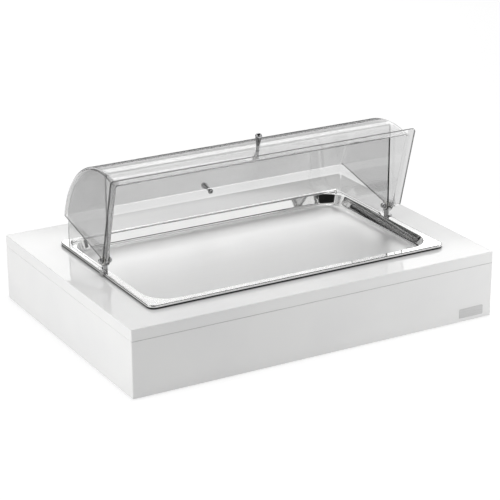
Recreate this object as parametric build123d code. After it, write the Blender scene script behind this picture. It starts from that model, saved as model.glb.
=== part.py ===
from build123d import *
from math import acos, asin, atan2, cos, degrees, radians, sin, sqrt
import os

# Chilled display tray: a gloss white box with cooling packs inside, a stainless steel
# tray in its top and a clear roll-top cover that stands on the tray's rim.
# Millimetres. X runs along the front, Y to the rear, Z up. The origin is on the table,
# under the middle of the box. The front cover shell is drawn swung open.

# Box of lacquered boards
BOX_WIDTH = 645.0
BOX_DEPTH = 460.0
PAD_HEIGHT = 2.0
SIDE_HEIGHT = 91.0
SIDE_BOARD = 18.0
TOP_BOARD = 19.0
BOTTOM_BOARD = 9.0
CORNER_ROUND = 1.5
EDGE_EASE = 0.7
BOARD_PLAY = 0.5
BLOCK_SIZE = 30.0
DOWEL_DIAMETER = 8.0
DOWEL_LENGTH = 24.0
DOWEL_PITCH = 190.0
END_DOWEL_REACH = 95.0
HOLE_PLAY = 0.1
SCREW_SHANK = 4.0
SCREW_HEAD = 8.0
SCREW_LENGTH = 28.0
SCREW_STEP = 12.0
PAD_DIAMETER = 30.0
PAD_INSET = 66.0

# Bare metal plate on the front face
BADGE_LENGTH = 46.0
BADGE_HEIGHT = 16.0
BADGE_THICK = 0.8
BADGE_PROUD = 0.3
BADGE_FROM_SIDE = 16.0
BADGE_FROM_TABLE = 8.0
BADGE_CORNER = 2.0

# Stainless steel tray
TRAY_LENGTH = 530.0
TRAY_DEPTH = 325.0
TRAY_SHIFT = -16.0
TRAY_SHEET = 0.9
RIM_WIDTH = 12.5
RIM_RISE = 6.5
RIM_CORNER = 12.0
RIM_ROUND = 2.0
RIM_INNER_ROUND = 1.0
HEM_REACH = 2.5
HEM_ROUND = 1.8
PAN_DEEP = 20.0
PAN_CORNER = 44.0
PAN_SLOPE = 18.0
PAN_FLOOR_ROUND = 9.0
CUT_OUT_PLAY = 2.5

# Foam liner and cooling packs
LINER_PLAY = 1.0
POCKET_LENGTH = 490.0
POCKET_DEPTH = 286.0
PACK_PLAY = 3.0
PACK_TO_PAN = 0.5
PACK_THICK = 32.0
PACK_ROUND = 9.0
PACK_CORNER = 24.0
PACK_RIB_DEEP = 4.0
PACK_RIB_WIDTH = 16.0
PACK_RIB_LENGTH = 144.0
PACK_RIB_PITCH = 48.0
CAP_DIAMETER = 30.0
CAP_HEIGHT = 6.0
CAP_PLAY = 0.4
CAP_INSET = 36.0
CAP_CHAMFER = 1.0
CAP_SLOT_LENGTH = 22.0
CAP_SLOT_WIDTH = 3.0
CAP_SLOT_DEEP = 2.5

# Clear cover shells
COVER_WALL = 2.5
PIVOT_RISE = 18.5
SHELL_GAP = 1.5
FRONT_RADIUS = 146.0
END_ROUND = 5.0
SEAT_GAP = 0.3
FRONT_END = 264.0
LIP_REACH = 10.0
LIP_BEND = 4.0
LIP_CORNER = 6.0
LIP_END_CORNER = 3.0
LIP_SETBACK = 1.5
FRONT_LOBE = 11.0
REAR_LOBE = 8.0
REAR_FOOT_START = 18.0
FOOT_PLAY = 1.5
OPEN_ANGLE = 75.0

# Pivot stack at each end of the cover
BOLT_DIAMETER = 5.0
RUN_PLAY = 0.08
BRACKET_SHEET = 2.0
BRACKET_WIDTH = 12.0
BRACKET_HOOK = 4.5
BRACKET_PLAY = 0.3
BUSH_WALL = 1.6
WASHER_THICK = 0.4
WASHER_DIAMETER = 12.0
SIDE_PLAY = 0.1
NUT_DIAMETER = 9.5
NUT_COLLAR = 2.5
NUT_BASE = 4.2

# Chrome teardrop knobs
KNOB_BALL = 11.0
KNOB_STEM = 5.5
KNOB_HEIGHT = 27.0
KNOB_STRAIGHT = 6.0
REAR_KNOB_ANGLE = 11.5
FRONT_KNOB_ANGLE = 7.1
KNOB_STOP_PLAY = 0.3
KNOB_SCREW = 4.0
KNOB_SCREW_HEAD = 7.5
KNOB_SCREW_HEAD_HIGH = 2.6
KNOB_SCREW_GRIP = 9.0
KNOB_SCREW_SPARE = 1.0
KNOB_WASHER = 9.0
KNOB_WASHER_THICK = 0.8
KNOB_SEAT = 0.1

# Heights that follow from the sizes above
BOARD_FOOT = PAD_HEIGHT
FLOOR_TOP = BOARD_FOOT + BOTTOM_BOARD
SEAM = BOARD_FOOT + SIDE_HEIGHT
BOX_TOP = SEAM + TOP_BOARD
RIM_TOP = BOX_TOP + RIM_RISE
PAN_UNDER = RIM_TOP - PAN_DEEP - TRAY_SHEET
PACK_TOP = PAN_UNDER - PACK_TO_PAN
PACK_FOOT = PACK_TOP - PACK_THICK
PIVOT_Z = RIM_TOP + PIVOT_RISE
PIVOT_Y = TRAY_SHIFT

# Plan sizes that follow
PAN_LENGTH = TRAY_LENGTH - 2 * RIM_WIDTH
PAN_WIDTH = TRAY_DEPTH - 2 * RIM_WIDTH
INNER_WIDTH = BOX_WIDTH - 2 * SIDE_BOARD
INNER_DEPTH = BOX_DEPTH - 2 * SIDE_BOARD

# Cover sizes that follow: the rear shell nests inside the front one
SHELL_SPACE = BRACKET_SHEET + 2 * WASHER_THICK + 2 * SIDE_PLAY
REAR_END = FRONT_END - COVER_WALL - SHELL_SPACE
REAR_RADIUS = FRONT_RADIUS - COVER_WALL - SHELL_GAP
BRACKET_INSIDE = REAR_END + SIDE_PLAY + WASHER_THICK
STOP_RADIUS = FRONT_RADIUS - COVER_WALL / 2
STOP_ANGLE = REAR_KNOB_ANGLE + degrees(asin((KNOB_STEM / 2 + KNOB_STOP_PLAY) / STOP_RADIUS))
FRONT_SPAN = 180.0 - STOP_ANGLE - OPEN_ANGLE

# How near counts as lying on a surface
SAME = 0.01

os.makedirs("parts", exist_ok=True)


def save(node, shape):
    """Writes one named node."""
    shape.label = node
    export_step(shape, f"parts/{node}.step")


def slab(x0, x1, y0, y1, z0, z1):
    """A box between two corners."""
    middle = ((x0 + x1) / 2, (y0 + y1) / 2, (z0 + z1) / 2)
    return Pos(*middle) * Box(x1 - x0, y1 - y0, z1 - z0)


def rounded_slab(length, width, corner, z0, z1, y=0.0, slope=0.0):
    """An upright block with rounded corners; with a slope it narrows downwards from its top."""
    plan = Pos(0, y, z1) * RectangleRounded(length, width, corner)
    return extrude(plan, amount=z1 - z0, dir=(0, 0, -1), taper=slope)


def edges_at(shape, z):
    """The edges that lie in one level plane."""
    return shape.edges().filter_by_position(Axis.Z, z, z)


def rod(diameter, z0, z1, x=0.0, y=0.0):
    """An upright round bar."""
    return Pos(x, y, (z0 + z1) / 2) * Cylinder(diameter / 2, z1 - z0)


def mirrored(shape):
    """The same piece at the other end."""
    return mirror(shape, about=Plane.YZ)


def box_corners():
    """The four quarters of the box, as signs of X and Y."""
    return [(sx, sy) for sx in (-1, 1) for sy in (-1, 1)]


# Side boards: one eased ring, parted along the mitres
ring = rounded_slab(BOX_WIDTH, BOX_DEPTH, CORNER_ROUND, BOARD_FOOT, SEAM)
ring = fillet(edges_at(ring, SEAM) + edges_at(ring, BOARD_FOOT), EDGE_EASE)
ring -= slab(-INNER_WIDTH / 2, INNER_WIDTH / 2, -INNER_DEPTH / 2, INNER_DEPTH / 2, BOARD_FOOT, SEAM)

# Dowels stand half in the boards and half in the top frame
dowel_y = BOX_DEPTH / 2 - SIDE_BOARD / 2
dowel_x = BOX_WIDTH / 2 - SIDE_BOARD / 2
DOWEL_SPOTS = [(i * DOWEL_PITCH, s * dowel_y) for i in (-1, 0, 1) for s in (-1, 1)]
DOWEL_SPOTS += [(s * dowel_x, i * END_DOWEL_REACH) for i in (-1, 1) for s in (-1, 1)]
DOWEL_FOOT = SEAM - DOWEL_LENGTH / 2
DOWEL_TOP = SEAM + DOWEL_LENGTH / 2
dowels = [rod(DOWEL_DIAMETER, DOWEL_FOOT, DOWEL_TOP, x, y) for x, y in DOWEL_SPOTS]
dowel_holes = [
    rod(DOWEL_DIAMETER + 2 * HOLE_PLAY, DOWEL_FOOT - HOLE_PLAY, DOWEL_TOP + HOLE_PLAY, x, y)
    for x, y in DOWEL_SPOTS
]
save("frame_dowels", Compound(dowels))
for hole in dowel_holes:
    ring -= hole


def mitred_board(depth_way, sign):
    """One board of the ring, between the two corner planes that end it."""
    half_long, half_wide = BOX_WIDTH / 2, BOX_DEPTH / 2
    if depth_way:
        half_long, half_wide = half_wide, half_long
    reach = 2 * SIDE_BOARD
    outline = [
        (-half_long, -half_wide),
        (half_long, -half_wide),
        (half_long - reach, -half_wide + reach),
        (-half_long + reach, -half_wide + reach),
    ]
    wedge = extrude(make_face(Polyline(*outline, close=True)), amount=BOX_TOP)
    turn = {(False, -1): 0, (False, 1): 180, (True, -1): -90, (True, 1): 90}[(depth_way, sign)]
    return ring & (Rot(0, 0, turn) * wedge)


front_board = mitred_board(False, -1)

# Badge plate, let into the front board
badge_x1 = BOX_WIDTH / 2 - BADGE_FROM_SIDE
badge_x0 = badge_x1 - BADGE_LENGTH
badge_z1 = BADGE_FROM_TABLE + BADGE_HEIGHT
face_y = -BOX_DEPTH / 2
badge_back = face_y + BADGE_THICK - BADGE_PROUD
badge = slab(badge_x0, badge_x1, face_y - BADGE_PROUD, badge_back, BADGE_FROM_TABLE, badge_z1)
badge = fillet(badge.edges().filter_by(Axis.Y), BADGE_CORNER)
save("badge_plate", badge)
front_board -= badge

save("front_panel", front_board)
save("rear_panel", mitred_board(False, 1))
save("left_panel", mitred_board(True, -1))
save("right_panel", mitred_board(True, 1))

# Top frame with the tray's cut-out
frame = rounded_slab(BOX_WIDTH, BOX_DEPTH, CORNER_ROUND, SEAM, BOX_TOP)
frame = fillet(edges_at(frame, BOX_TOP) + edges_at(frame, SEAM), EDGE_EASE)
cut_length = PAN_LENGTH + 2 * CUT_OUT_PLAY
cut_width = PAN_WIDTH + 2 * CUT_OUT_PLAY
cut_corner = PAN_CORNER + CUT_OUT_PLAY
frame -= rounded_slab(cut_length, cut_width, cut_corner, SEAM, BOX_TOP, TRAY_SHIFT)
for hole in dowel_holes:
    frame -= hole
save("top_frame", frame)

# Glue blocks in the corners, and the screws that hold the bottom board to them
block_top = SEAM
blocks = []
screws = []
screw_holes = []
for sx, sy in box_corners():
    outer_x = sx * INNER_WIDTH / 2
    outer_y = sy * INNER_DEPTH / 2
    inner_x = outer_x - sx * BLOCK_SIZE
    inner_y = outer_y - sy * BLOCK_SIZE
    x0, x1 = sorted((outer_x, inner_x))
    y0, y1 = sorted((outer_y, inner_y))
    blocks.append(slab(x0, x1, y0, y1, FLOOR_TOP, block_top))
    for step in (-0.5, 0.5):
        spot_x = (x0 + x1) / 2 + sx * step * SCREW_STEP
        spot_y = (y0 + y1) / 2 - sy * step * SCREW_STEP
        head_high = (SCREW_HEAD - SCREW_SHANK) / 2
        head = Pos(spot_x, spot_y, BOARD_FOOT + head_high / 2)
        shank_top = BOARD_FOOT + SCREW_LENGTH
        shank = rod(SCREW_SHANK, BOARD_FOOT + head_high, shank_top, spot_x, spot_y)
        screws.append(head * Cone(SCREW_HEAD / 2, SCREW_SHANK / 2, head_high) + shank)
        wide = head * Cone(SCREW_HEAD / 2 + HOLE_PLAY, SCREW_SHANK / 2 + HOLE_PLAY, head_high)
        narrow = rod(SCREW_SHANK + 2 * HOLE_PLAY, BOARD_FOOT, shank_top + HOLE_PLAY, spot_x, spot_y)
        screw_holes.append(wide + narrow)

floor_x = INNER_WIDTH / 2 - BOARD_PLAY / 2
floor_y = INNER_DEPTH / 2 - BOARD_PLAY / 2
floor_board = slab(-floor_x, floor_x, -floor_y, floor_y, BOARD_FOOT, FLOOR_TOP)
for hole in screw_holes:
    floor_board -= hole
    blocks = [block - hole for block in blocks]
save("bottom_panel", floor_board)
save("corner_blocks", Compound(blocks))
save("bottom_screws", Compound(screws))

pad_x = BOX_WIDTH / 2 - PAD_INSET
pad_y = BOX_DEPTH / 2 - PAD_INSET
pads = []
for sx, sy in box_corners():
    pad = rod(PAD_DIAMETER, 0, PAD_HEIGHT, sx * pad_x, sy * pad_y)
    pads.append(fillet(edges_at(pad, 0), PAD_HEIGHT / 2))
save("foot_pads", Compound(pads))

# Foam liner: it fills the box below the frame, round the glue blocks and the pack pocket
liner_x = INNER_WIDTH / 2 - LINER_PLAY
liner_y = INNER_DEPTH / 2 - LINER_PLAY
liner = slab(-liner_x, liner_x, -liner_y, liner_y, FLOOR_TOP, SEAM)
notch = BLOCK_SIZE + LINER_PLAY
for sx, sy in box_corners():
    x0, x1 = sorted((sx * INNER_WIDTH / 2, sx * (INNER_WIDTH / 2 - notch)))
    y0, y1 = sorted((sy * INNER_DEPTH / 2, sy * (INNER_DEPTH / 2 - notch)))
    liner -= slab(x0, x1, y0, y1, FLOOR_TOP, SEAM)
pocket_corner = PACK_CORNER + PACK_PLAY
liner -= rounded_slab(POCKET_LENGTH, POCKET_DEPTH, pocket_corner, PACK_FOOT, SEAM, TRAY_SHIFT)
save("insulation_liner", liner)

# Cooling packs: two rounded bottles with pressed ribs and a screw cap with a coin slot each
pack_length = (POCKET_LENGTH - 3 * PACK_PLAY) / 2
pack_width = POCKET_DEPTH - 2 * PACK_PLAY


def cooling_pack(side):
    """One pack and its cap, on the left (-1) or the right (1)."""
    centre_x = side * (pack_length + PACK_PLAY) / 2
    body = rounded_slab(pack_length, pack_width, PACK_CORNER, PACK_FOOT, PACK_TOP)
    body = fillet(edges_at(body, PACK_TOP) + edges_at(body, PACK_FOOT), PACK_ROUND)
    for step in (-1, 0, 1):
        groove = SlotOverall(PACK_RIB_LENGTH, PACK_RIB_WIDTH)
        at = Pos(0, step * PACK_RIB_PITCH, PACK_TOP - PACK_RIB_DEEP)
        body -= extrude(at * groove, amount=PACK_RIB_DEEP)
    cap_x = side * (pack_length / 2 - CAP_INSET)
    cap_y = CAP_INSET - pack_width / 2
    cap_foot = PACK_TOP - CAP_HEIGHT
    body -= rod(CAP_DIAMETER + 2 * CAP_PLAY, cap_foot, PACK_TOP, cap_x, cap_y)
    cap = rod(CAP_DIAMETER, cap_foot, PACK_TOP, cap_x, cap_y)
    cap = chamfer(edges_at(cap, PACK_TOP), CAP_CHAMFER)
    coin_slot = SlotOverall(CAP_SLOT_LENGTH, CAP_SLOT_WIDTH)
    cap -= extrude(Pos(cap_x, cap_y, PACK_TOP - CAP_SLOT_DEEP) * coin_slot, amount=CAP_SLOT_DEEP)
    place = Pos(centre_x, TRAY_SHIFT, 0)
    return place * body, place * cap


left_pack, left_cap = cooling_pack(-1)
right_pack, right_cap = cooling_pack(1)
save("ice_pack_left", left_pack)
save("ice_pack_right", right_pack)
save("ice_pack_caps", Compound([left_cap, right_cap]))


# Tray: a rim turned down and rolled in below, and a pan with sloping walls
def rim_form(inset, bottom, top):
    """The rim's outline, drawn in by an inset, between two heights."""
    return rounded_slab(TRAY_LENGTH - 2 * inset, TRAY_DEPTH - 2 * inset, RIM_CORNER - inset, bottom, top)


rim_under = RIM_TOP - TRAY_SHEET
hem_top = BOX_TOP + TRAY_SHEET
rim = rim_form(0, BOX_TOP, RIM_TOP)
rim = fillet(edges_at(rim, RIM_TOP), RIM_ROUND)
rim = fillet(edges_at(rim, BOX_TOP), HEM_ROUND)
hollow = rim_form(TRAY_SHEET, hem_top, rim_under)
hollow = fillet(edges_at(hollow, rim_under), RIM_ROUND - TRAY_SHEET)
hollow = fillet(edges_at(hollow, hem_top), HEM_ROUND - TRAY_SHEET)
hollow += rim_form(HEM_REACH, BOX_TOP, hem_top)


def pan_form(grow, top, bottom):
    """The pan's space, grown sideways by a sheet where it is the outside."""
    form = rounded_slab(
        PAN_LENGTH + 2 * grow, PAN_WIDTH + 2 * grow, PAN_CORNER + grow, bottom, top, 0, PAN_SLOPE
    )
    return fillet(edges_at(form, bottom), PAN_FLOOR_ROUND + grow)


pan_floor = RIM_TOP - PAN_DEEP
tray = rim - hollow + pan_form(TRAY_SHEET, rim_under, PAN_UNDER) - pan_form(0, RIM_TOP, pan_floor)
tray = fillet(tray.faces().sort_by(Axis.Z)[-1].inner_wires()[0].edges(), RIM_INNER_ROUND)
save("gn_tray", Pos(0, TRAY_SHIFT, 0) * tray)


# Cover shells are drawn about the pivot, closed, with Y to the rear and Z up
def tangent_angle(point_y, point_z, radius, side):
    """The angle, about the pivot, where a line from a point just touches a lobe."""
    reach = sqrt(point_y**2 + point_z**2)
    return degrees(atan2(point_z, point_y)) + side * degrees(acos(radius / reach))


def polar(radius, angle):
    """A point about the pivot, with the angle counted up from the rear."""
    return (radius * cos(radians(angle)), radius * sin(radians(angle)))


def swept(outline, half):
    """An outline in the Y-Z plane carried along X to both sides."""
    return extrude(Plane.YZ * outline, amount=half, both=True)


def cover_form(outline, half, radius, end_round):
    """A block over an outline, with its skin rounded into both ends."""
    block = swept(outline, half)
    crest = [e for e in block.edges() if is_skin_edge(e, half, radius)]
    return fillet(crest, end_round)


def is_skin_edge(edge, half, radius):
    """True for an end edge that lies on the skin: on the arc, or on the upright below it."""
    if abs(abs(edge.center().X) - half) > SAME:
        return False
    middle = edge @ 0.5
    on_arc = edge.geom_type == GeomType.CIRCLE and abs(edge.radius - radius) < SAME
    on_upright = edge.geom_type == GeomType.LINE and abs(abs(middle.Y) - radius) < SAME
    return on_arc or on_upright


def cover_hollow(half, radius, end_round, below):
    """What is taken out of a shell: a half round above the pivot and a box below it."""
    top = make_face(
        [
            RadiusArc((-radius, 0), (radius, 0), radius),
            Line((radius, 0), (radius, -below)),
            Line((radius, -below), (-radius, -below)),
            Line((-radius, -below), (-radius, 0)),
        ]
    )
    return cover_form(top, half, radius, end_round)


def lipped(block, hollow, foot, half, radius, side):
    """Hollows a block with a lip, with a small bend above the lip and a wide one below it."""
    upper = [e for e in edges_at(block, foot + COVER_WALL) if on_wall(e, half, radius, side)]
    block = fillet(upper, LIP_BEND)
    inner_half, inner_radius = half - COVER_WALL, radius - COVER_WALL
    lower = [e for e in edges_at(hollow, foot) if on_wall(e, inner_half, inner_radius, side)]
    return block - fillet(lower, LIP_BEND + COVER_WALL)


def on_wall(edge, half, radius, side):
    """True for an edge that runs along a wall of the shell, on its front (-1) or rear (1) half."""
    middle = edge @ 0.5
    reach_y = side * middle.Y
    inside = abs(middle.X) <= half + SAME and 0 < reach_y <= radius + SAME
    near_wall = abs(middle.X) > half - END_ROUND or reach_y > radius - END_ROUND
    return inside and near_wall


hollow_round = END_ROUND - COVER_WALL
below = PIVOT_RISE + LIP_REACH

# Rear shell: closed over the rear half of the tray
rear_foot = SEAT_GAP - PIVOT_RISE
rear_top = sqrt(REAR_RADIUS**2 - REAR_LOBE**2)
touch = tangent_angle(REAR_FOOT_START, rear_foot, REAR_LOBE, -1)
rear_outline = make_face(
    [
        Line((REAR_FOOT_START, rear_foot), (REAR_RADIUS, rear_foot)),
        Line((REAR_RADIUS, rear_foot), (REAR_RADIUS, 0)),
        ThreePointArc((REAR_RADIUS, 0), polar(REAR_RADIUS, 45), (-REAR_LOBE, rear_top)),
        Line((-REAR_LOBE, rear_top), (-REAR_LOBE, 0)),
        ThreePointArc((-REAR_LOBE, 0), polar(REAR_LOBE, (touch - 180) / 2), polar(REAR_LOBE, touch)),
        Line(polar(REAR_LOBE, touch), (REAR_FOOT_START, rear_foot)),
    ]
)
rear = cover_form(rear_outline, REAR_END, REAR_RADIUS, END_ROUND)
rear_hollow = cover_hollow(REAR_END - COVER_WALL, REAR_RADIUS - COVER_WALL, hollow_round, below)
lip_half = REAR_END - END_ROUND - LIP_BEND
rear_lip = slab(-lip_half, lip_half, 0, REAR_RADIUS + LIP_REACH, rear_foot, rear_foot + COVER_WALL)
rear_lip = fillet(rear_lip.edges().filter_by(Axis.Z).group_by(Axis.Y)[-1], LIP_CORNER)
rear_flare = slab(-lip_half, lip_half, 0, REAR_RADIUS + 2 * LIP_REACH, -below, rear_foot)
rear = lipped(rear + rear_lip, rear_hollow + rear_flare, rear_foot, REAR_END, REAR_RADIUS, 1)

# Front shell: a quarter round with an outward lip along its lower edge, stepped to pass the brackets' feet
front_foot = SEAT_GAP - PIVOT_RISE
step_y = -BRACKET_WIDTH / 2 - FOOT_PLAY
step_z = BRACKET_SHEET - PIVOT_RISE + FOOT_PLAY
lip_start = step_y - LIP_SETBACK
trail = polar(FRONT_RADIUS, 180 - FRONT_SPAN)
touch = tangent_angle(step_y, step_z, FRONT_LOBE, 1)
front_outline = make_face(
    [
        Line((step_y, front_foot), (-FRONT_RADIUS, front_foot)),
        Line((-FRONT_RADIUS, front_foot), (-FRONT_RADIUS, 0)),
        ThreePointArc((-FRONT_RADIUS, 0), polar(FRONT_RADIUS, 135), trail),
        Line(trail, (0, 0)),
        Line((0, 0), polar(FRONT_LOBE, touch)),
        Line(polar(FRONT_LOBE, touch), (step_y, step_z)),
        Line((step_y, step_z), (step_y, front_foot)),
    ]
)
front_lobe = swept(Circle(FRONT_LOBE), FRONT_END)
front = cover_form(front_outline, FRONT_END, FRONT_RADIUS, END_ROUND) + front_lobe
front_hollow = cover_hollow(FRONT_END - COVER_WALL, FRONT_RADIUS - COVER_WALL, hollow_round, below)
lip_side = FRONT_END + LIP_REACH
lip_front = -FRONT_RADIUS - LIP_REACH
front_lip = slab(-lip_side, lip_side, lip_front, lip_start, front_foot, front_foot + COVER_WALL)
corner_edges = front_lip.edges().filter_by(Axis.Z)
front_lip = fillet(corner_edges.group_by(Axis.Y)[0], LIP_CORNER)
front_lip = fillet(front_lip.edges().filter_by(Axis.Z).group_by(Axis.Y)[-1], LIP_END_CORNER)
flare_side = lip_side + LIP_REACH
front_flare = slab(-flare_side, flare_side, lip_front - LIP_REACH, lip_start, -below, front_foot)
front = lipped(front + front_lip, front_hollow + front_flare, front_foot, FRONT_END, FRONT_RADIUS, -1)

# Pivot holes: the bolt in the rear shell, the bush in the front shell
bush_diameter = BOLT_DIAMETER + 2 * RUN_PLAY + 2 * BUSH_WALL
along_x = Rot(0, 90, 0)
pivot = Pos(0, PIVOT_Y, PIVOT_Z)
rear -= along_x * Cylinder(BOLT_DIAMETER / 2 + HOLE_PLAY, 2 * REAR_END)
front -= along_x * Cylinder(bush_diameter / 2, 2 * FRONT_END)


# Knobs stand on the skin, square to it, each held by a screw from inside
def teardrop():
    """A ball drawn down into a straight stem, standing on Z = 0."""
    ball = KNOB_BALL / 2
    stem = KNOB_STEM / 2
    centre = KNOB_HEIGHT - ball
    lean = asin((ball - stem) / (centre - KNOB_STRAIGHT))
    start = (ball * cos(lean), centre - ball * sin(lean))
    shoulder = (ball * cos(radians(45)), centre + ball * sin(radians(45)))
    outline = make_face(
        [
            Line((0, 0), (stem, 0)),
            Line((stem, 0), (stem, KNOB_STRAIGHT)),
            Line((stem, KNOB_STRAIGHT), start),
            ThreePointArc(start, shoulder, (0, KNOB_HEIGHT)),
            Line((0, KNOB_HEIGHT), (0, 0)),
        ]
    )
    return revolve(Plane.XZ * outline, Axis.Z)


def knob_set(radius, angle):
    """Knob, screw, washer and the hole in the skin, at an angle counted up from the rear."""
    stand = Rot(angle - 90, 0, 0) * Pos(0, 0, radius)
    inside = -COVER_WALL - KNOB_SEAT
    head_top = inside - KNOB_WASHER_THICK
    shank_top = KNOB_SCREW_GRIP - KNOB_SCREW_SPARE
    knob = teardrop() - rod(KNOB_SCREW + 2 * HOLE_PLAY, 0, KNOB_SCREW_GRIP)
    head = rod(KNOB_SCREW_HEAD, head_top - KNOB_SCREW_HEAD_HIGH, head_top)
    head = fillet(edges_at(head, head_top - KNOB_SCREW_HEAD_HIGH), KNOB_SCREW_HEAD_HIGH / 2)
    screw = head + rod(KNOB_SCREW, head_top, shank_top)
    washer = rod(KNOB_WASHER, head_top, inside)
    washer -= rod(KNOB_SCREW + 2 * HOLE_PLAY, head_top, inside)
    hole = rod(KNOB_SCREW + 2 * HOLE_PLAY, 2 * inside, COVER_WALL)
    return [stand * piece for piece in (knob, screw, washer, hole)]


rear_knob, rear_screw, rear_washer, rear_hole = knob_set(REAR_RADIUS, REAR_KNOB_ANGLE)
front_knob, front_screw, front_washer, front_hole = knob_set(FRONT_RADIUS, 180 - FRONT_KNOB_ANGLE)
rear -= rear_hole
front -= front_hole

save("rear_shell", pivot * rear)
save("rear_knob", pivot * rear_knob)
save("rear_knob_screw", pivot * rear_screw)
save("rear_knob_washer", pivot * rear_washer)

# The front shell and what turns with it stand open in the model
swing = pivot * Rot(-OPEN_ANGLE, 0, 0)
save("front_shell", swing * front)
save("front_knob", swing * front_knob)
save("front_knob_screw", swing * front_screw)
save("front_knob_washer", swing * front_washer)


# Pivot stack, worked out from the inside of the right end outwards
def disc(diameter, x0, x1, bore=0.0):
    """A round piece on the pivot line, with an optional bore."""
    piece = Pos((x0 + x1) / 2, 0, 0) * along_x * Cylinder(diameter / 2, x1 - x0)
    if bore:
        piece -= Pos((x0 + x1) / 2, 0, 0) * along_x * Cylinder(bore / 2, x1 - x0)
    return piece


bolt_bore = BOLT_DIAMETER + 2 * HOLE_PLAY
bracket_outside = BRACKET_INSIDE + BRACKET_SHEET
front_inside = FRONT_END - COVER_WALL
inner_face = REAR_END - COVER_WALL
outer_face = FRONT_END + SIDE_PLAY


def dome_nut(face, out):
    """A round cap nut with a ball end; it starts at a face and points out (1) or in (-1)."""
    radius = NUT_DIAMETER / 2
    tip = NUT_COLLAR + radius
    profile = make_face(
        [
            Line((0, 0), (radius, 0)),
            Line((radius, 0), (radius, NUT_COLLAR)),
            RadiusArc((radius, NUT_COLLAR), (0, tip), -radius),
            Line((0, tip), (0, 0)),
        ]
    )
    nut = revolve(Plane.XZ * profile, Axis.Z) - rod(bolt_bore, 0, NUT_BASE)
    return Pos(face, 0, 0) * Rot(0, 90 * out, 0) * nut


inner_washer = disc(WASHER_DIAMETER, REAR_END + SIDE_PLAY / 2, BRACKET_INSIDE, bolt_bore)
middle_washer = disc(WASHER_DIAMETER, bracket_outside, bracket_outside + WASHER_THICK, bolt_bore)
outer_washer = disc(WASHER_DIAMETER, outer_face, outer_face + WASHER_THICK, bolt_bore)
bush = disc(bush_diameter, front_inside, FRONT_END, BOLT_DIAMETER + 2 * RUN_PLAY)
bolt_reach = NUT_BASE - HOLE_PLAY
bolt = disc(BOLT_DIAMETER, inner_face - bolt_reach, outer_face + WASHER_THICK + bolt_reach)
inner_nut = dome_nut(inner_face, -1)
outer_nut = dome_nut(outer_face + WASHER_THICK, 1)


def bracket():
    """A bent strip: a tongue up to the pivot, a foot on the rim and a hook over its edge."""
    rim_edge = TRAY_LENGTH / 2 + BRACKET_PLAY
    foot = -PIVOT_RISE
    hook = foot - BRACKET_HOOK
    section = Polyline(
        (BRACKET_INSIDE, foot),
        (rim_edge, foot),
        (rim_edge, hook),
        (rim_edge + BRACKET_SHEET, hook),
        (rim_edge + BRACKET_SHEET, foot + BRACKET_SHEET),
        (bracket_outside, foot + BRACKET_SHEET),
        (bracket_outside, BRACKET_WIDTH),
        (BRACKET_INSIDE, BRACKET_WIDTH),
        close=True,
    )
    strip = extrude(Plane.XZ * make_face(section), amount=BRACKET_WIDTH / 2, both=True)
    bend = strip.edges().filter_by(Axis.Y).filter_by_position(
        Axis.Z, foot + BRACKET_SHEET, foot + BRACKET_SHEET
    )
    strip = fillet(bend, BRACKET_SHEET / 2)
    tongue = Rectangle(BRACKET_WIDTH, PIVOT_RISE + BRACKET_HOOK, align=(Align.CENTER, Align.MAX))
    shape = tongue + Circle(BRACKET_WIDTH / 2)
    strip &= swept(shape, lip_side)
    return strip - along_x * Cylinder(bolt_bore / 2, 2 * lip_side)


arm = bracket()
save("right_bracket", pivot * arm)
save("left_bracket", pivot * mirrored(arm))


def both_ends(node, piece):
    """The same small piece at both ends of the cover, as one node."""
    save(node, Compound([pivot * piece, pivot * mirrored(piece)]))


both_ends("pivot_bolts", bolt)
both_ends("inner_dome_nuts", inner_nut)
both_ends("outer_dome_nuts", outer_nut)
both_ends("inner_washers", inner_washer)
both_ends("middle_washers", middle_washer)
both_ends("outer_washers", outer_washer)
both_ends("pivot_bushes", bush)
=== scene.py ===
import math

import bpy
import numpy as np
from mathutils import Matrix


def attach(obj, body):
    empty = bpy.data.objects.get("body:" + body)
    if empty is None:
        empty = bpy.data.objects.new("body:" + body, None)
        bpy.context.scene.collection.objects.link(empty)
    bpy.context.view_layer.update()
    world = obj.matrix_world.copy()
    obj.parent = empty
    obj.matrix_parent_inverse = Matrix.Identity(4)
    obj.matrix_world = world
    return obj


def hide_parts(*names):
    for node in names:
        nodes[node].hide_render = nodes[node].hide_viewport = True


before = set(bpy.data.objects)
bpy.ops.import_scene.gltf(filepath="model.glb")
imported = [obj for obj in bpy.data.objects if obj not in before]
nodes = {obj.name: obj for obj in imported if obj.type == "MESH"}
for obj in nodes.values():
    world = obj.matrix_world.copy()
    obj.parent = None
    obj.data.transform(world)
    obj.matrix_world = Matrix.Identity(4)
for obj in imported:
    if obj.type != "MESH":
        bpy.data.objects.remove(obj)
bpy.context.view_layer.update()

# Studio: a white floor that takes the shadow, a white surround, six soft lamps and seven dark flags.
# The camera stands to the front left with a long lens and looks down on the cover.
# The flags are black cards out of the picture that give clear plastic and polished steel their dark lines.
CAMERA_PLACE = (-1.434, -2.522, 1.194)
CAMERA_LOOKS_DOWN = 21.15
CAMERA_TURN = -29.99
CAMERA_LENS = 137.85
CAMERA_SENSOR = 36.0
CAMERA_SHIFT = (-0.0161, 0.0326)
WHITE = (1.0, 1.0, 1.0, 1.0)
SURROUND_LEVEL = 0.36
FLOOR_HALF = 9.0
FLOOR_BOUNCE = (0.78, 0.78, 0.78, 1.0)
FLOOR_SHADOW = (0.34, 0.34, 0.34, 1.0)
FLOOR_GLOW = 0.74
FLAG_BLACK = (0.01, 0.01, 0.01, 1.0)

scene = bpy.context.scene
scene.view_settings.view_transform = "Standard"


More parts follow.
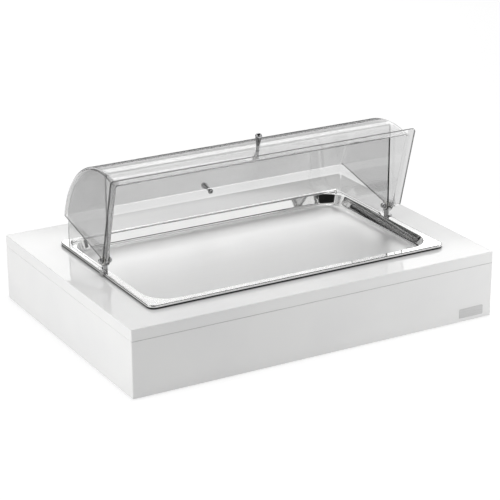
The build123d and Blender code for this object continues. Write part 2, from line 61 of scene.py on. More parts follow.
def set_inputs(node, sockets):
    """Sets a node's inputs by name, with spaces written as underscores."""
    for name, value in sockets.items():
        node.inputs[name.replace("_", " ")].default_value = value


def add_node(tree, kind, **sockets):
    """Adds a shader node and sets its inputs by name."""
    made = tree.nodes.new(kind)
    set_inputs(made, sockets)
    return made


def feed(tree, socket, value):
    """Links an output to an input, or sets the input where the value is a plain number or colour."""
    if isinstance(value, bpy.types.NodeSocket):
        tree.links.new(value, socket)
    else:
        socket.default_value = value


def add_maths(tree, operation, first, second=None):
    """Adds a Math node whose one or two operands are outputs or plain numbers, and returns its output."""
    made = tree.nodes.new("ShaderNodeMath")
    made.operation = operation
    feed(tree, made.inputs[0], first)
    if second is not None:
        feed(tree, made.inputs[1], second)
    return made.outputs[0]


def mix_shaders(tree, share, first, second):
    """A shader that goes from first to second as share goes from 0 to 1."""
    made = tree.nodes.new("ShaderNodeMixShader")
    for place, output in enumerate((share, first, second)):
        tree.links.new(output, made.inputs[place])
    return made.outputs[0]


def seen_rays(tree):
    """One where a ray comes straight from the camera, from a gloss or through clear plastic, else nought."""
    path = tree.nodes.new("ShaderNodeLightPath")
    shown = add_maths(tree, "MAXIMUM", path.outputs["Is Camera Ray"], path.outputs["Is Glossy Ray"])
    return add_maths(tree, "MAXIMUM", shown, path.outputs["Is Transmission Ray"])


def stage_sheet(name, centre, across, up):
    """A flat four-sided sheet of the stage: its centre plus and minus its two half sides."""
    centre, across, up = (np.array(v) for v in (centre, across, up))
    corners = [centre + i * across + j * up for i, j in ((-1, -1), (1, -1), (1, 1), (-1, 1))]
    mesh = bpy.data.meshes.new(name)
    mesh.from_pydata([tuple(c) for c in corners], [], [(0, 1, 2, 3)])
    sheet = bpy.data.objects.new(name, mesh)
    scene.collection.objects.link(sheet)
    return sheet


eye = bpy.data.cameras.new("eye")
eye.lens = CAMERA_LENS
eye.sensor_width = CAMERA_SENSOR
eye.shift_x, eye.shift_y = CAMERA_SHIFT
eye_stand = bpy.data.objects.new("eye", eye)
eye_stand.location = CAMERA_PLACE
eye_stand.rotation_euler = (math.radians(90.0 - CAMERA_LOOKS_DOWN), 0.0, math.radians(CAMERA_TURN))
scene.collection.objects.link(eye_stand)
scene.camera = eye_stand

surround = bpy.data.worlds.new("white_surround")
surround.use_nodes = True
tree = surround.node_tree
tree.nodes.clear()
light_in = add_node(tree, "ShaderNodeBackground", Color=WHITE, Strength=SURROUND_LEVEL)
shown_white = add_node(tree, "ShaderNodeBackground", Color=WHITE, Strength=1.0)
choice = mix_shaders(tree, seen_rays(tree), light_in.outputs[0], shown_white.outputs[0])
tree.links.new(choice, tree.nodes.new("ShaderNodeOutputWorld").inputs["Surface"])
scene.world = surround

floor = stage_sheet("studio_floor", (0.0, 0.0, 0.0), (FLOOR_HALF, 0.0, 0.0), (0.0, FLOOR_HALF, 0.0))
floor_paper = bpy.data.materials.new("floor_paper")
floor_paper.use_nodes = True
tree = floor_paper.node_tree
tree.nodes.clear()
bounce = add_node(tree, "ShaderNodeBsdfDiffuse", Color=FLOOR_BOUNCE)
shadow_part = add_node(tree, "ShaderNodeBsdfDiffuse", Color=FLOOR_SHADOW)
glow = add_node(tree, "ShaderNodeEmission", Color=WHITE, Strength=FLOOR_GLOW)
together = tree.nodes.new("ShaderNodeAddShader")
tree.links.new(shadow_part.outputs[0], together.inputs[0])
tree.links.new(glow.outputs[0], together.inputs[1])
choice = mix_shaders(tree, seen_rays(tree), bounce.outputs[0], together.outputs[0])
tree.links.new(choice, tree.nodes.new("ShaderNodeOutputMaterial").inputs["Surface"])
floor.data.materials.append(floor_paper)

flag_black = bpy.data.materials.new("flag_black")
flag_black.use_nodes = True
set_inputs(flag_black.node_tree.nodes["Principled BSDF"], {"Base_Color": FLAG_BLACK, "Roughness": 1.0})


def soft_lamp(name, place, aim, size, watts, mirrored=True, through=True):
    """A rectangular lamp at place that faces aim; polished and clear surfaces may or may not show it."""
    lamp = bpy.data.lights.new(name, "AREA")
    lamp.shape = "RECTANGLE"
    lamp.size, lamp.size_y = size
    lamp.energy = watts
    stand = bpy.data.objects.new(name, lamp)
    stand.location = place
    stand.visible_camera = False
    stand.visible_glossy = mirrored
    stand.visible_transmission = through
    way = np.array(place) - np.array(aim)
    tilt = math.atan2(math.hypot(way[0], way[1]), way[2])
    stand.rotation_euler = (tilt, 0.0, math.atan2(way[0], -way[1]))
    scene.collection.objects.link(stand)


def dark_flag(name, centre, across, up, through=True):
    """A black card of the stage that only polished and clear surfaces see, from its centre and half sides."""
    card = stage_sheet(name, centre, across, up)
    card.data.materials.append(flag_black)
    card.visible_camera = card.visible_diffuse = card.visible_shadow = False
    card.visible_transmission = through


soft_lamp(
    "overhead_lamp", place=(0.0, -0.25, 2.0), aim=(0.0, -0.2, 0.1), size=(1.6, 0.7), watts=10.8,
    mirrored=False,
)
soft_lamp(
    "rear_fill_lamp", place=(0.3, 2.3, 0.6), aim=(0.0, 0.2, 0.06), size=(2.1, 1.0), watts=7.5,
    mirrored=False, through=False,
)
soft_lamp("rear_key_lamp", place=(0.5, 1.5, 2.3), aim=(0.0, 0.0, 0.15), size=(1.5, 0.9), watts=5.0)
soft_lamp("rear_right_lamp", place=(1.5, 2.3, 1.9), aim=(0.0, 0.0, 0.15), size=(2.4, 1.5), watts=12.6)
soft_lamp(
    "left_lamp", place=(-1.7, -0.2, 0.5), aim=(-0.32, -0.15, 0.08), size=(0.9, 0.9), watts=11.4,
    mirrored=False, through=False,
)
soft_lamp(
    "right_lamp", place=(0.95, -1.0, 0.45), aim=(0.35, -0.2, 0.1), size=(0.5, 0.5), watts=5.6,
    mirrored=False, through=False,
)
dark_flag("rear_left_flag", centre=(-1.7, 2.4, 0.6), across=(1.1, 0.75, 0.0), up=(0.0, 0.0, 0.6))
dark_flag("camera_side_flag", centre=(-1.9, -3.4, 1.9), across=(1.3, -0.75, 0.0), up=(0.0, 0.0, 0.9))
dark_flag(
    "rear_floor_flag", centre=(0.55, 0.95, 0.2), across=(1.2, -0.69, 0.0), up=(0.0, 0.0, 0.2), through=False
)
dark_flag(
    "ceiling_flag", centre=(0.0, -0.3, 3.6), across=(3.0, 0.0, 0.0), up=(0.0, 2.6, 0.0), through=False
)
dark_flag(
    "room_flag", centre=(-2.6, -4.4, 2.9), across=(3.6, -2.08, 0.0), up=(0.0, 0.0, 2.2), through=False
)
dark_flag(
    "front_right_flag", centre=(1.55, -2.7, 1.35), across=(0.9, 0.52, 0.0), up=(0.0, 0.0, 0.42), through=False
)
dark_flag(
    "far_right_flag", centre=(2.78, -1.12, 0.36), across=(0.28, 0.70, 0.0), up=(0.0, 0.0, 0.30), through=False
)

# Base box: four boards mitred at the corners and a cut-out top board, all sprayed in gloss white lacquer.
# The lacquer is mirror smooth with a trace of orange peel, and hands leave it a little duller in places.
# The joint under the top board is open on the front and the rear, and filled with lacquer on the ends.
LACQUER_WHITE = (0.83, 0.83, 0.825)
LACQUER_SHADE = (0.80, 0.80, 0.80)
LACQUER_JOINT = (0.60, 0.60, 0.60)
LACQUER_SMEARED = (0.045, 0.085)
LACQUER_STREAKED = (0.0, 0.1)
SEAM_HEIGHT = 0.093
SEAM_HALF = 0.0008
SEAM_CORE = 0.4
FRONT_FACE = 0.2294
PEEL_SIZE = 260.0
PEEL_RIPPLE = 0.2
PEEL_DEPTH = 0.00004
UPWARDS = (0.0, 0.0, 1.0)
FULL = (0.0, 1.0)
MIX_COLOURS = (6, 7)
MIX_RESULT = 2


def vector_maths(tree, operation, first, second):
    """Adds a Vector Math node on two outputs and returns its own outputs."""
    made = tree.nodes.new("ShaderNodeVectorMath")
    made.operation = operation
    tree.links.new(first, made.inputs[0])
    tree.links.new(second, made.inputs[1])
    return made.outputs


def axes_of(tree, place):
    """The coordinates parted into their X, Y and Z outputs."""
    made = tree.nodes.new("ShaderNodeSeparateXYZ")
    tree.links.new(place, made.inputs[0])
    return made.outputs


def noise_of(tree, vector, scale, detail, roughness):
    """A Noise texture on the given coordinates, with its 0 to 1 value as output."""
    made = add_node(tree, "ShaderNodeTexNoise", Detail=detail, Roughness=roughness)
    tree.links.new(vector, made.inputs["Vector"])
    feed(tree, made.inputs["Scale"], scale)
    return made.outputs["Fac"]


def spread(tree, value, source, target=FULL):
    """Maps a value from one range to another, held at its ends; the target's ends are outputs or numbers."""
    made = add_node(tree, "ShaderNodeMapRange", From_Min=source[0], From_Max=source[1])
    tree.links.new(value, made.inputs["Value"])
    feed(tree, made.inputs["To Min"], target[0])
    feed(tree, made.inputs["To Max"], target[1])
    return made.outputs["Result"]


def blend_colours(tree, share, first, second):
    """A colour that goes from first to second as share goes from 0 to 1; colours are outputs or tuples."""
    made = tree.nodes.new("ShaderNodeMix")
    made.data_type = "RGBA"
    tree.links.new(share, made.inputs["Factor"])
    for place, colour in zip(MIX_COLOURS, (first, second)):
        feed(tree, made.inputs[place], (*colour, 1.0) if isinstance(colour, tuple) else colour)
    return made.outputs[MIX_RESULT]


def group_of(name, vectors, numbers, outputs):
    """Starts a shader node group; returns it, what it is given and what is taken from it."""
    group = bpy.data.node_groups.new(name, "ShaderNodeTree")
    for kind, names in (("NodeSocketVector", vectors), ("NodeSocketFloat", numbers)):
        for socket in names:
            group.interface.new_socket(socket, in_out="INPUT", socket_type=kind)
    for socket in outputs:
        group.interface.new_socket(socket, in_out="OUTPUT", socket_type="NodeSocketFloat")
    return group, group.nodes.new("NodeGroupInput").outputs, group.nodes.new("NodeGroupOutput").inputs


# Handling marks, for most finishes: broad cloudy smears and thin streaks, as a cloth leaves them.
SMEAR_SPAN = (0.42, 0.68)
STREAK_SPAN = (0.56, 0.72)
STREAK_LEAN = (0.3, 0.2, 0.6)
STREAK_SQUEEZE = (1.0, 14.0, 5.0)

handling_marks, given, taken = group_of(
    "handling_marks", ["Vector"], ["Smear Size", "Streak Size"], ["Smear", "Streak"]
)
clouds = noise_of(handling_marks, given["Vector"], given["Smear Size"], detail=3.0, roughness=0.55)
handling_marks.links.new(spread(handling_marks, clouds, SMEAR_SPAN), taken["Smear"])
turned = add_node(handling_marks, "ShaderNodeMapping", Rotation=STREAK_LEAN, Scale=STREAK_SQUEEZE)
handling_marks.links.new(given["Vector"], turned.inputs["Vector"])
lines = noise_of(handling_marks, turned.outputs["Vector"], given["Streak Size"], detail=2.0, roughness=0.6)
handling_marks.links.new(spread(handling_marks, lines, STREAK_SPAN), taken["Streak"])

# Fine relief, for sprayed, moulded and rubber skins: low bumps of one size with a finer ripple on them.
RIPPLE_FINER = 3.7

fine_relief, given, taken = group_of("fine_relief", ["Vector"], ["Size", "Ripple"], ["Height"])
bumps = noise_of(fine_relief, given["Vector"], given["Size"], detail=1.0, roughness=0.4)
finer = add_maths(fine_relief, "MULTIPLY", given["Size"], RIPPLE_FINER)
ripple = noise_of(fine_relief, given["Vector"], finer, detail=1.0, roughness=0.4)
rippled = add_maths(fine_relief, "MULTIPLY", ripple, given["Ripple"])
fine_relief.links.new(add_maths(fine_relief, "ADD", bumps, rippled), taken["Height"])

# Plane band, for joints and for the edges of clear plastic: one near a plane, and nought a set width from it.
# The core is the share of that width that stays at one before the band fades.
plane_band, given, taken = group_of(
    "plane_band", ["Vector", "Across"], ["Offset", "Width", "Core"], ["Band"]
)
along = vector_maths(plane_band, "DOT_PRODUCT", given["Vector"], given["Across"])["Value"]
away = add_maths(plane_band, "ABSOLUTE", add_maths(plane_band, "SUBTRACT", along, given["Offset"]))
left_over = add_maths(plane_band, "SUBTRACT", 1.0, add_maths(plane_band, "DIVIDE", away, given["Width"]))
fading_share = add_maths(plane_band, "SUBTRACT", 1.0, given["Core"])
fading = add_maths(plane_band, "DIVIDE", left_over, fading_share)
plane_band.links.new(spread(plane_band, fading, FULL), taken["Band"])


def use_group(tree, group, vector, **sockets):
    """Places a node group, gives it the coordinates and its own values, and returns its outputs."""
    made = tree.nodes.new("ShaderNodeGroup")
    made.node_tree = group
    tree.links.new(vector, made.inputs["Vector"])
    set_inputs(made, sockets)
    return made.outputs


def finish_named(name, **sockets):
    """A new material with one Principled shader; returns it, its tree, shader and Object coordinates."""
    made = bpy.data.materials.new(name)
    made.use_nodes = True
    tree = made.node_tree
    tree.nodes.clear()
    shader = add_node(tree, "ShaderNodeBsdfPrincipled", **sockets)
    output = tree.nodes.new("ShaderNodeOutputMaterial")
    tree.links.new(shader.outputs["BSDF"], output.inputs["Surface"])
    place = tree.nodes.new("ShaderNodeTexCoord").outputs["Object"]
    return made, tree, shader, place


def colour_by(tree, shader, share, first, second):
    """Colours a shader from first to second as share goes from 0 to 1."""
    tree.links.new(blend_colours(tree, share, first, second), shader.inputs["Base Color"])


def dull_by(tree, shader, value, source, roughness):
    """Makes a shader rougher or smoother, between two ends, as a value goes through its source range."""
    tree.links.new(spread(tree, value, source, roughness), shader.inputs["Roughness"])


def raise_by(tree, shader, height, depth):
    """Feeds a height through a Bump node of the given depth in metres to the shader's Normal."""
    bump = add_node(tree, "ShaderNodeBump", Strength=1.0, Distance=depth)
    tree.links.new(height, bump.inputs["Height"])
    tree.links.new(bump.outputs["Normal"], shader.inputs["Normal"])


def dress(finish, *names):
    """Puts a finish in every material slot of the named CAD nodes."""
    for name in names:
        for slot in nodes[name].material_slots:
            slot.material = finish


white_lacquer, tree, shader, place = finish_named(
    "white_lacquer_finish", IOR=1.5, Coat_Weight=0.15, Coat_IOR=1.65, Coat_Roughness=0.03
)
marks = use_group(tree, handling_marks, place, Smear_Size=7.0, Streak_Size=30.0)
peel = use_group(tree, fine_relief, place, Size=PEEL_SIZE, Ripple=PEEL_RIPPLE)
coat_tone = blend_colours(tree, marks["Smear"], LACQUER_WHITE, LACQUER_SHADE)
seam = use_group(
    tree, plane_band, place, Across=UPWARDS, Offset=SEAM_HEIGHT, Width=SEAM_HALF, Core=SEAM_CORE
)
from_middle = add_maths(tree, "ABSOLUTE", axes_of(tree, place)["Y"])
on_face = add_maths(tree, "GREATER_THAN", from_middle, FRONT_FACE)
open_joint = add_maths(tree, "MULTIPLY", seam["Band"], on_face)
colour_by(tree, shader, open_joint, coat_tone, LACQUER_JOINT)
smeared = spread(tree, marks["Smear"], FULL, LACQUER_SMEARED)
streaked = spread(tree, marks["Streak"], FULL, LACQUER_STREAKED)
tree.links.new(add_maths(tree, "MAXIMUM", smeared, streaked), shader.inputs["Roughness"])
raise_by(tree, shader, peel["Height"], PEEL_DEPTH)
dress(white_lacquer, "front_panel", "rear_panel", "left_panel", "right_panel", "top_frame")

# Bottom panel: bare fibreboard let in between the sides, with glued corner blocks of pine and beech dowels.
# None of it is painted. The board is a felt of pressed fibres, the pine and beech show straight grain.
BOARD_LIGHT = (0.42, 0.30, 0.19)
BOARD_DARK = (0.31, 0.21, 0.125)
BOARD_SPAN = (0.38, 0.62)
BOARD_ROUGH = (0.66, 0.86)
BOARD_RELIEF = 0.00015
FIBRE_SHARE = 0.7
PATCH_SHARE = 0.3
PINE_LIGHT = (0.62, 0.44, 0.25)
PINE_DARK = (0.45, 0.27, 0.12)
BEECH_LIGHT = (0.56, 0.38, 0.24)
BEECH_DARK = (0.44, 0.27, 0.16)
BAND_SHARE = 0.65
THREAD_SHARE = 0.35
WOOD_ROUGH = (0.5, 0.72)
WOOD_RELIEF = 0.00012
NOISE_SPAN = (0.3, 0.7)


def weighted_sum(tree, first, first_share, second, second_share):
    """Two values added, each times its share."""
    first_part = add_maths(tree, "MULTIPLY", first, first_share)
    return add_maths(tree, "ADD", first_part, add_maths(tree, "MULTIPLY", second, second_share))


bare_board, tree, shader, place = finish_named("bare_fibreboard")
fibres = noise_of(tree, place, scale=420.0, detail=6.0, roughness=0.7)
patches = noise_of(tree, place, scale=22.0, detail=2.0, roughness=0.5)
mixed = weighted_sum(tree, fibres, FIBRE_SHARE, patches, PATCH_SHARE)
colour_by(tree, shader, spread(tree, mixed, BOARD_SPAN), BOARD_DARK, BOARD_LIGHT)
dull_by(tree, shader, fibres, NOISE_SPAN, BOARD_ROUGH)
raise_by(tree, shader, fibres, BOARD_RELIEF)
dress(bare_board, "bottom_panel")

# Straight grain, for the wood that stays bare: long thin fibres along one axis over slow yearly bands.
YEAR_SPAN = (0.35, 0.65)
FIBRE_FINER = 9.0

straight_grain, given, taken = group_of("straight_grain", ["Vector", "Squeeze"], ["Bands"], ["Band", "Fibre"])
pressed = vector_maths(straight_grain, "MULTIPLY", given["Vector"], given["Squeeze"])["Vector"]
years = noise_of(straight_grain, pressed, given["Bands"], detail=2.0, roughness=0.5)
straight_grain.links.new(spread(straight_grain, years, YEAR_SPAN), taken["Band"])
fibre_size = add_maths(straight_grain, "MULTIPLY", given["Bands"], FIBRE_FINER)
threads = noise_of(straight_grain, pressed, fibre_size, detail=3.0, roughness=0.6)
straight_grain.links.new(threads, taken["Fibre"])


def wood_finish(name, light, dark, squeeze, bands):
    """Bare wood with straight grain: bands and fibres give its colour, the fibres its gloss and relief."""
    made, tree, shader, place = finish_named(name)
    grain = use_group(tree, straight_grain, place, Squeeze=squeeze, Bands=bands)
    share = weighted_sum(tree, grain["Band"], BAND_SHARE, grain["Fibre"], THREAD_SHARE)
    colour_by(tree, shader, share, dark, light)
    dull_by(tree, shader, grain["Fibre"], NOISE_SPAN, WOOD_ROUGH)
    raise_by(tree, shader, grain["Fibre"], WOOD_RELIEF)
    return made


pine_block = wood_finish("pine_block", PINE_LIGHT, PINE_DARK, squeeze=(1.0, 1.0, 0.06), bands=190.0)
beech_dowel = wood_finish("beech_dowel", BEECH_LIGHT, BEECH_DARK, squeeze=(1.0, 1.0, 0.08), bands=320.0)
dress(pine_block, "corner_blocks")
dress(beech_dowel, "frame_dowels")

# Bottom screws: eight countersunk wood screws of zinc-plated steel, driven up into the corner blocks.
# Each has a cross cut in its flat head and a coarse thread that runs out in a point.
# The zinc is thin and cloudy, a cool grey with a trace of straw colour.
ZINC_COOL = (0.52, 0.54, 0.56)
ZINC_STRAW = (0.55, 0.52, 0.44)
ZINC_SPAN = (0.35, 0.65)
ZINC_ROUGH = (0.24, 0.38)
SCREW_FOOT = 0.002
SCREW_MIDDLE = (0.2895, 0.197)
SCREW_STEP = 0.006
SCREW_SIDES = 56
SCREW_TURN = 2.4
WOOD_FACE = (16, 0.0039, 0.0)
WOOD_RIM = (1, 0.004, 0.0001)
WOOD_CONE = (3, 0.0015, 0.0026)
WOOD_NECK = (2, 0.0014, 0.009)
WOOD_CORE = (48, 0.0013, 0.0235)
WOOD_POINT = (16, 0.0, 0.028)
WOOD_THREAD = (0.0022, 0.0007, 0.009, 0.0278)
WOOD_CROSS = (0.0024, 0.00055, 0.0016)
CREST_SLOPE = 1.8
CREST_CUT = 0.7
FLANK_SLOPE = 2.0
ARM_END_SLOPE = 3.0
HEAD_FACE = 0.00005
SHARP_FROM = math.radians(32.0)


def outline_through(*legs):
    """Rows of radius and height along straight legs; a leg is its number of rows, its radius and height."""
    rows = [np.zeros((1, 2))]
    for count, radius, height in legs:
        share = np.linspace(0.0, 1.0, count + 1)[1:, None]
        rows.append(rows[-1][-1] + share * (np.array((radius, height)) - rows[-1][-1]))
    return np.concatenate(rows)


def screw_surface(outline, thread, cross):
    """Points of a screw on its own axis: an outline turned round it, from the middle of the head to the tip.

    A thread is its pitch, tooth, start and end. It adds a tooth to the radius: a triangle wave of height over
    pitch less turn, cut to a narrow crest and faded in and out at its ends. A cross is its reach, half width
    and depth. It pushes the head's face in where a point is nearer to one of two arms than half their width,
    with sloping flanks."""
    pitch, tooth, start, end = thread
    reach, half_width, deep = cross
    turn = np.linspace(0.0, 2.0 * np.pi, SCREW_SIDES, endpoint=False)
    radius, height = outline[1:-1, :1], outline[1:-1, 1:]
    wave = 1.0 - np.abs(2.0 * np.mod(height / pitch - turn / (2.0 * np.pi), 1.0) - 1.0)
    fade = np.clip((height - start) / pitch, 0.0, 1.0) * np.clip((end - height) / pitch, 0.0, 1.0)
    threaded = radius + tooth * fade * np.clip(CREST_SLOPE * wave - CREST_CUT, 0.0, 1.0)
    near_arm = radius * np.minimum(np.abs(np.sin(turn)), np.abs(np.cos(turn)))
    along_arm = radius * np.maximum(np.abs(np.sin(turn)), np.abs(np.cos(turn)))
    flank = np.clip(FLANK_SLOPE * (1.0 - near_arm / half_width), 0.0, 1.0)
    arm_end = np.clip(ARM_END_SLOPE * (1.0 - along_arm / reach), 0.0, 1.0)
    cut = np.where(height < HEAD_FACE, deep * (flank * arm_end), 0.0)
    rings = np.stack([threaded * np.cos(turn), threaded * np.sin(turn), height + cut], axis=-1)
    ends = np.array([(0.0, 0.0, deep), (0.0, 0.0, outline[-1, 1])])
    return np.concatenate([ends[:1], rings.reshape(-1, 3), ends[1:]])


def screw_faces(count):
    """Faces of a screw with that many points: a fan at each end and rings of four-sided faces between."""
    ring = np.arange(SCREW_SIDES)
    after = np.roll(ring, -1)
    first = np.arange(1, count - 1 - SCREW_SIDES, SCREW_SIDES)[:, None]
    second = first + SCREW_SIDES
    quads = np.stack([first + ring, first + after, second + after, second + ring], axis=-1)
    head = np.stack([np.zeros_like(ring), 1 + after, 1 + ring], axis=-1)
    last = count - 1
    last_ring = last - SCREW_SIDES
    tip = np.stack([last_ring + ring, last_ring + after, np.full_like(ring, last)], axis=-1)
    return quads.reshape(-1, 4), np.concatenate([head, tip])


def screw_set(name, points, stands, finish, body, node):
    """A set of like screws in one piece; a stand is the middle of the head's face and the screw's axes."""
    quads, fans = screw_faces(len(points))
    moved = [np.array(middle) + points @ np.array(axes) for middle, axes in stands]
    faces = []
    for place in range(len(stands)):
        faces += (quads + place * len(points)).tolist() + (fans + place * len(points)).tolist()
    mesh = bpy.data.meshes.new(name)
    mesh.from_pydata(np.concatenate(moved).tolist(), [], faces)
    mesh.polygons.foreach_set("use_smooth", np.ones(len(faces), dtype=bool))
    mesh.set_sharp_from_angle(angle=SHARP_FROM)
    mesh.materials.append(finish)
    piece = bpy.data.objects.new(name, mesh)
    scene.collection.objects.link(piece)
    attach(piece, body)
    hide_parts(node)


zinc_plate, tree, shader, place = finish_named("zinc_plate", Metallic=1.0)
cloud = noise_of(tree, place, scale=340.0, detail=3.0, roughness=0.5)
marks = use_group(tree, handling_marks, place, Smear_Size=180.0, Streak_Size=700.0)
colour_by(tree, shader, spread(tree, cloud, ZINC_SPAN), ZINC_COOL, ZINC_STRAW)
dull_by(tree, shader, marks["Smear"], FULL, ZINC_ROUGH)

wood_screw = outline_through(WOOD_FACE, WOOD_RIM, WOOD_CONE, WOOD_NECK, WOOD_CORE, WOOD_POINT)
stands = []
for side in (-1.0, 1.0):
    for end in (-1.0, 1.0):
        for step in (-SCREW_STEP, SCREW_STEP):
            middle = (side * (SCREW_MIDDLE[0] + step), end * (SCREW_MIDDLE[1] - step), SCREW_FOOT)
            turned = SCREW_TURN * len(stands)
            cosine, sine = math.cos(turned), math.sin(turned)
            stands.append((middle, [(cosine, sine, 0.0), (-sine, cosine, 0.0), (0.0, 0.0, 1.0)]))
points = screw_surface(wood_screw, WOOD_THREAD, WOOD_CROSS)
screw_set("bottom_screw_set", points, stands, zinc_plate, "base", "bottom_screws")

# Foot pads: four thin discs of black rubber glued under the box near its corners.
# The rubber is dull, with a fine moulded skin, and a little dusty.
RUBBER_BLACK = (0.018, 0.018, 0.019)
RUBBER_DUSTY = (0.055, 0.054, 0.052)
RUBBER_ROUGH = (0.62, 0.88)
RUBBER_RELIEF = 0.00006

pad_rubber, tree, shader, place = finish_named("pad_rubber")
dust = use_group(tree, handling_marks, place, Smear_Size=70.0, Streak_Size=400.0)
skin = use_group(tree, fine_relief, place, Size=1400.0, Ripple=0.5)
colour_by(tree, shader, dust["Smear"], RUBBER_BLACK, RUBBER_DUSTY)
dull_by(tree, shader, dust["Smear"], FULL, RUBBER_ROUGH)
raise_by(tree, shader, skin["Height"], RUBBER_RELIEF)
dress(pad_rubber, "foot_pads")

# Badge plate: a small plate of brushed metal, let into the front board low at its right end and glued.
# The brush runs along the plate.
PLATE_LIGHT = (0.60, 0.60, 0.60)
PLATE_DARK = (0.46, 0.46, 0.46)
PLATE_ROUGH = (0.26, 0.4)
BRUSH_RELIEF = 0.00002

# Brush lines, for worked metal and turned nylon: thin scratches in two sizes, long along the squeezed axes.
TONE_BROADER = 0.12

brush_lines, given, taken = group_of("brush_lines", ["Vector", "Squeeze"], ["Size"], ["Line", "Tone"])
pressed = vector_maths(brush_lines, "MULTIPLY", given["Vector"], given["Squeeze"])["Vector"]
scratches = noise_of(brush_lines, pressed, given["Size"], detail=3.0, roughness=0.65)
brush_lines.links.new(scratches, taken["Line"])
broad = add_maths(brush_lines, "MULTIPLY", given["Size"], TONE_BROADER)
brush_lines.links.new(noise_of(brush_lines, pressed, broad, detail=2.0, roughness=0.5), taken["Tone"])


def brushed_finish(name, light, dark, roughness, squeeze, size):
    """Brushed metal: the scratches give its colour and relief, their broader tone its roughness."""
    made, tree, shader, place = finish_named(name, Metallic=1.0)
    brush = use_group(tree, brush_lines, place, Squeeze=squeeze, Size=size)
    colour_by(tree, shader, spread(tree, brush["Line"], NOISE_SPAN), dark, light)
    dull_by(tree, shader, brush["Tone"], NOISE_SPAN, roughness)
    raise_by(tree, shader, brush["Line"], BRUSH_RELIEF)
    return made


plate_metal = brushed_finish(
    "badge_metal", PLATE_LIGHT, PLATE_DARK, PLATE_ROUGH, squeeze=(0.02, 1.0, 1.0), size=1500.0
)
dress(plate_metal, "badge_plate")

# Insulation liner: a moulded block of white bead foam with a pocket for the packs.
# Its skin shows the outlines of the beads that were steamed together.
FOAM_WHITE = (0.80, 0.80, 0.79)
FOAM_JOINT = (0.62, 0.63, 0.63)
BEAD_SIZE = 260.0
BEAD_EDGE = (0.0, 0.16)
BEAD_RELIEF = 0.0003

bead_foam, tree, shader, place = finish_named("bead_foam", Roughness=0.72)
beads = add_node(tree, "ShaderNodeTexVoronoi", Scale=BEAD_SIZE)
beads.feature = "DISTANCE_TO_EDGE"
tree.links.new(place, beads.inputs["Vector"])
rounded = spread(tree, beads.outputs["Distance"], BEAD_EDGE)
colour_by(tree, shader, rounded, FOAM_JOINT, FOAM_WHITE)
raise_by(tree, shader, rounded, BEAD_RELIEF)
dress(bead_foam, "insulation_liner")

# Cooling packs: two blow-moulded flat bottles of milky plastic, filled and screwed shut with a blue cap.
# The skin is waxy, frosted where it is cold, with faint flow marks from the mould.
PACK_MILK = (0.66, 0.74, 0.78)
PACK_FROST = (0.80, 0.84, 0.86)
FROST_SPAN = (0.42, 0.66)
PACK_ROUGH = (0.26, 0.5)
PACK_RELIEF = 0.00008
CAP_BLUE = (0.045, 0.17, 0.36)
CAP_BLUE_WORN = (0.075, 0.23, 0.43)
CAP_ROUGH = (0.3, 0.45)
CAP_RELIEF = 0.00005

pack_plastic, tree, shader, place = finish_named(
    "milky_pack", IOR=1.5, Subsurface_Weight=0.25, Subsurface_Scale=0.006
)
frost = noise_of(tree, place, scale=34.0, detail=5.0, roughness=0.62)
skin = use_group(tree, fine_relief, place, Size=380.0, Ripple=0.4)
frosted = spread(tree, frost, FROST_SPAN)
colour_by(tree, shader, frosted, PACK_MILK, PACK_FROST)
dull_by(tree, shader, frosted, FULL, PACK_ROUGH)
raise_by(tree, shader, skin["Height"], PACK_RELIEF)
dress(pack_plastic, "ice_pack_left", "ice_pack_right")

cap_plastic, tree, shader, place = finish_named("cap_plastic_finish", IOR=1.5)
marks = use_group(tree, handling_marks, place, Smear_Size=60.0, Streak_Size=300.0)
skin = use_group(tree, fine_relief, place, Size=900.0, Ripple=0.4)
colour_by(tree, shader, marks["Streak"], CAP_BLUE, CAP_BLUE_WORN)
dull_by(tree, shader, marks["Smear"], FULL, CAP_ROUGH)
raise_by(tree, shader, skin["Height"], CAP_RELIEF)
dress(cap_plastic, "ice_pack_caps")

# Tray: one sheet of stainless steel pressed to the standard full size, its rim turned down and rolled in.
# The floor is satin with a fine brush along the length; the walls and the rim are polished bright.
# The foot of the rolled hem is painted near black: painted shade for the dark line where the hem meets the
# lacquer.
SATIN_LIGHT = (0.75, 0.75, 0.745)
SATIN_DARK = (0.725, 0.725, 0.725)
SATIN_ROUGH = (0.37, 0.41)
SATIN_RELIEF = 0.0000012
POLISHED = (0.85, 0.85, 0.845)
POLISHED_ROUGH = (0.05, 0.09)
# The hem's foot colour is painted shade.
HEM_PAINTED_SHADE = (0.03, 0.03, 0.03)
HEM_TOP = 0.1146
HEM_FADE = 0.001
POLISH_HEIGHTS = (0.0992, 0.104)
RIM_MIDDLE = (0.2595, 0.157)
TRAY_CENTRE = -0.016

tray_steel, tree, shader, place = finish_named("pressed_stainless", Metallic=1.0)
brush = use_group(tree, brush_lines, place, Squeeze=(0.015, 1.0, 1.0), Size=2600.0)
marks = use_group(tree, handling_marks, place, Smear_Size=11.0, Streak_Size=45.0)
axes = axes_of(tree, place)
polished = spread(tree, axes["Z"], POLISH_HEIGHTS)
brushed = blend_colours(tree, spread(tree, brush["Line"], NOISE_SPAN), SATIN_DARK, SATIN_LIGHT)
steel_tone = blend_colours(tree, polished, brushed, POLISHED)
# Below the hem's top height and outside the rim's middle line, the steel is painted near black as painted
# shade.
from_middle = add_maths(tree, "ABSOLUTE", axes["X"])
past_end = spread(tree, from_middle, (RIM_MIDDLE[0], RIM_MIDDLE[0] + HEM_FADE))
from_middle = add_maths(tree, "ABSOLUTE", add_maths(tree, "SUBTRACT", axes["Y"], TRAY_CENTRE))
past_side = spread(tree, from_middle, (RIM_MIDDLE[1], RIM_MIDDLE[1] + HEM_FADE))
low_down = spread(tree, axes["Z"], (HEM_TOP, HEM_TOP + HEM_FADE), (1.0, 0.0))
hem_painted_shade = add_maths(tree, "MULTIPLY", add_maths(tree, "MAXIMUM", past_end, past_side), low_down)
